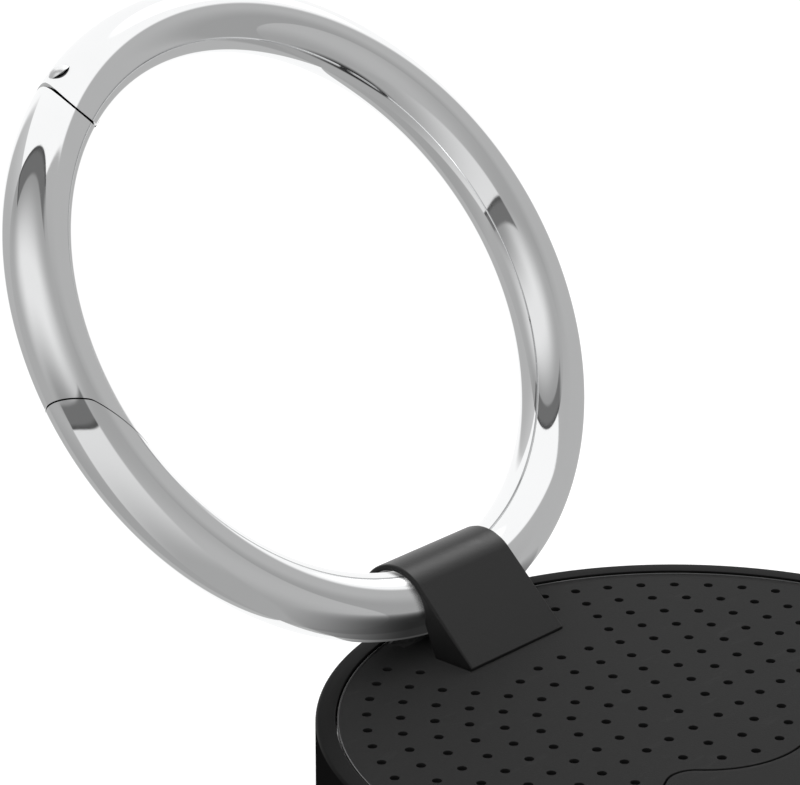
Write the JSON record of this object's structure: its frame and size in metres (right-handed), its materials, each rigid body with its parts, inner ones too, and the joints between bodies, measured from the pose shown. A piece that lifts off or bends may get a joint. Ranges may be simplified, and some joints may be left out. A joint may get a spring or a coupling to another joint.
{
  "type": "bluetooth tracker tag",
  "caption": "Round tracker puck with a dimpled face, a thumb button and a battery door, on a polished key ring with a sprung gate that swings in a loop at its edge.",
  "frame": {"origin": "centre of the puck's back face, on the battery door's axis", "axes": "+Z out of the dimpled front face; +Y from the puck's centre towards the loop and the key ring; +X along the ring's swing axis"},
  "size_m": [0.036, 0.0543, 0.0367],
  "materials": {
    "case_plastic": "satin black",
    "face_plastic": "matte black",
    "loop_plastic": "matte black",
    "chrome": "mirror polished",
    "steel": "plain",
    "brass": "plain",
    "seal_rubber": "matte",
    "ceramic": "matte",
    "board": "green solder mask",
    "chip_plastic": "matte black"
  },
  "bodies": {
    "puck": {"case_frame": "case_plastic", "front_cover": "face_plastic", "front_gasket": "seal_rubber", "strap_loop": "loop_plastic", "foot_screw_left": "steel", "foot_screw_right": "steel", "circuit_board": "board", "board_screw_1": "steel", "board_screw_2": "steel", "board_screw_3": "steel", "bluetooth_chip": "chip_plastic", "crystal": "steel", "chip_antenna": "ceramic", "capacitor": "ceramic", "switch_body": "chip_plastic", "button_pad": "seal_rubber", "sounder_disc": "brass", "sounder_ceramic": "ceramic", "sounder_pin_inner": "brass", "sounder_pin_outer": "brass", "coin_cell": "steel", "cell_holder": "chip_plastic", "positive_contact": "brass", "negative_contact": "brass"},
    "ring": {"ring_body": "chrome", "gate_rivet": "chrome", "gate_pivot_pin": "steel", "gate_spring": "steel"},
    "gate": {"ring_gate": "chrome"},
    "plunger": {"gate_plunger": "steel"},
    "button": {"thumb_button": "face_plastic"},
    "switch": {"switch_plunger": "ceramic"},
    "door": {"battery_door": "case_plastic", "door_seal": "seal_rubber"}
  },
  "joints": [
    {"name": "ring_swing", "type": "hinge", "parent": "puck", "child": "ring", "pos_m": [0, 0.01622, 0.00972], "axis": [1, 0, 0], "range_deg": [-52, 124]},
    {"name": "gate_opening", "type": "hinge", "parent": "ring", "child": "gate", "pos_m": [-0.00788, 0.03337, 0.03333], "axis": [0, -0.809, 0.5878], "range_deg": [0, 30]},
    {"name": "plunger_slide", "type": "slide", "parent": "ring", "child": "plunger", "axis": [0.9196, 0.2309, 0.3178], "range_m": [0, 0.00021], "deforming": ["gate_spring"]},
    {"name": "button_press", "type": "slide", "parent": "puck", "child": "button", "axis": [0, 0, -1], "range_m": [0, 0.0002], "deforming": ["button_pad"]},
    {"name": "switch_press", "type": "slide", "parent": "puck", "child": "switch", "axis": [0, 0, -1], "range_m": [0, 0.00021]},
    {"name": "door_turn", "type": "hinge", "parent": "puck", "child": "door", "pos_m": [0, 0, 0], "axis": [0, 0, 1], "range_deg": [0, 25]}
  ],
  "couplings": [
    {"joint": "plunger_slide", "follows": "gate_opening", "m_per_rad": 0.000382},
    {"joint": "switch_press", "follows": "button_press", "ratio": 1}
  ]
}
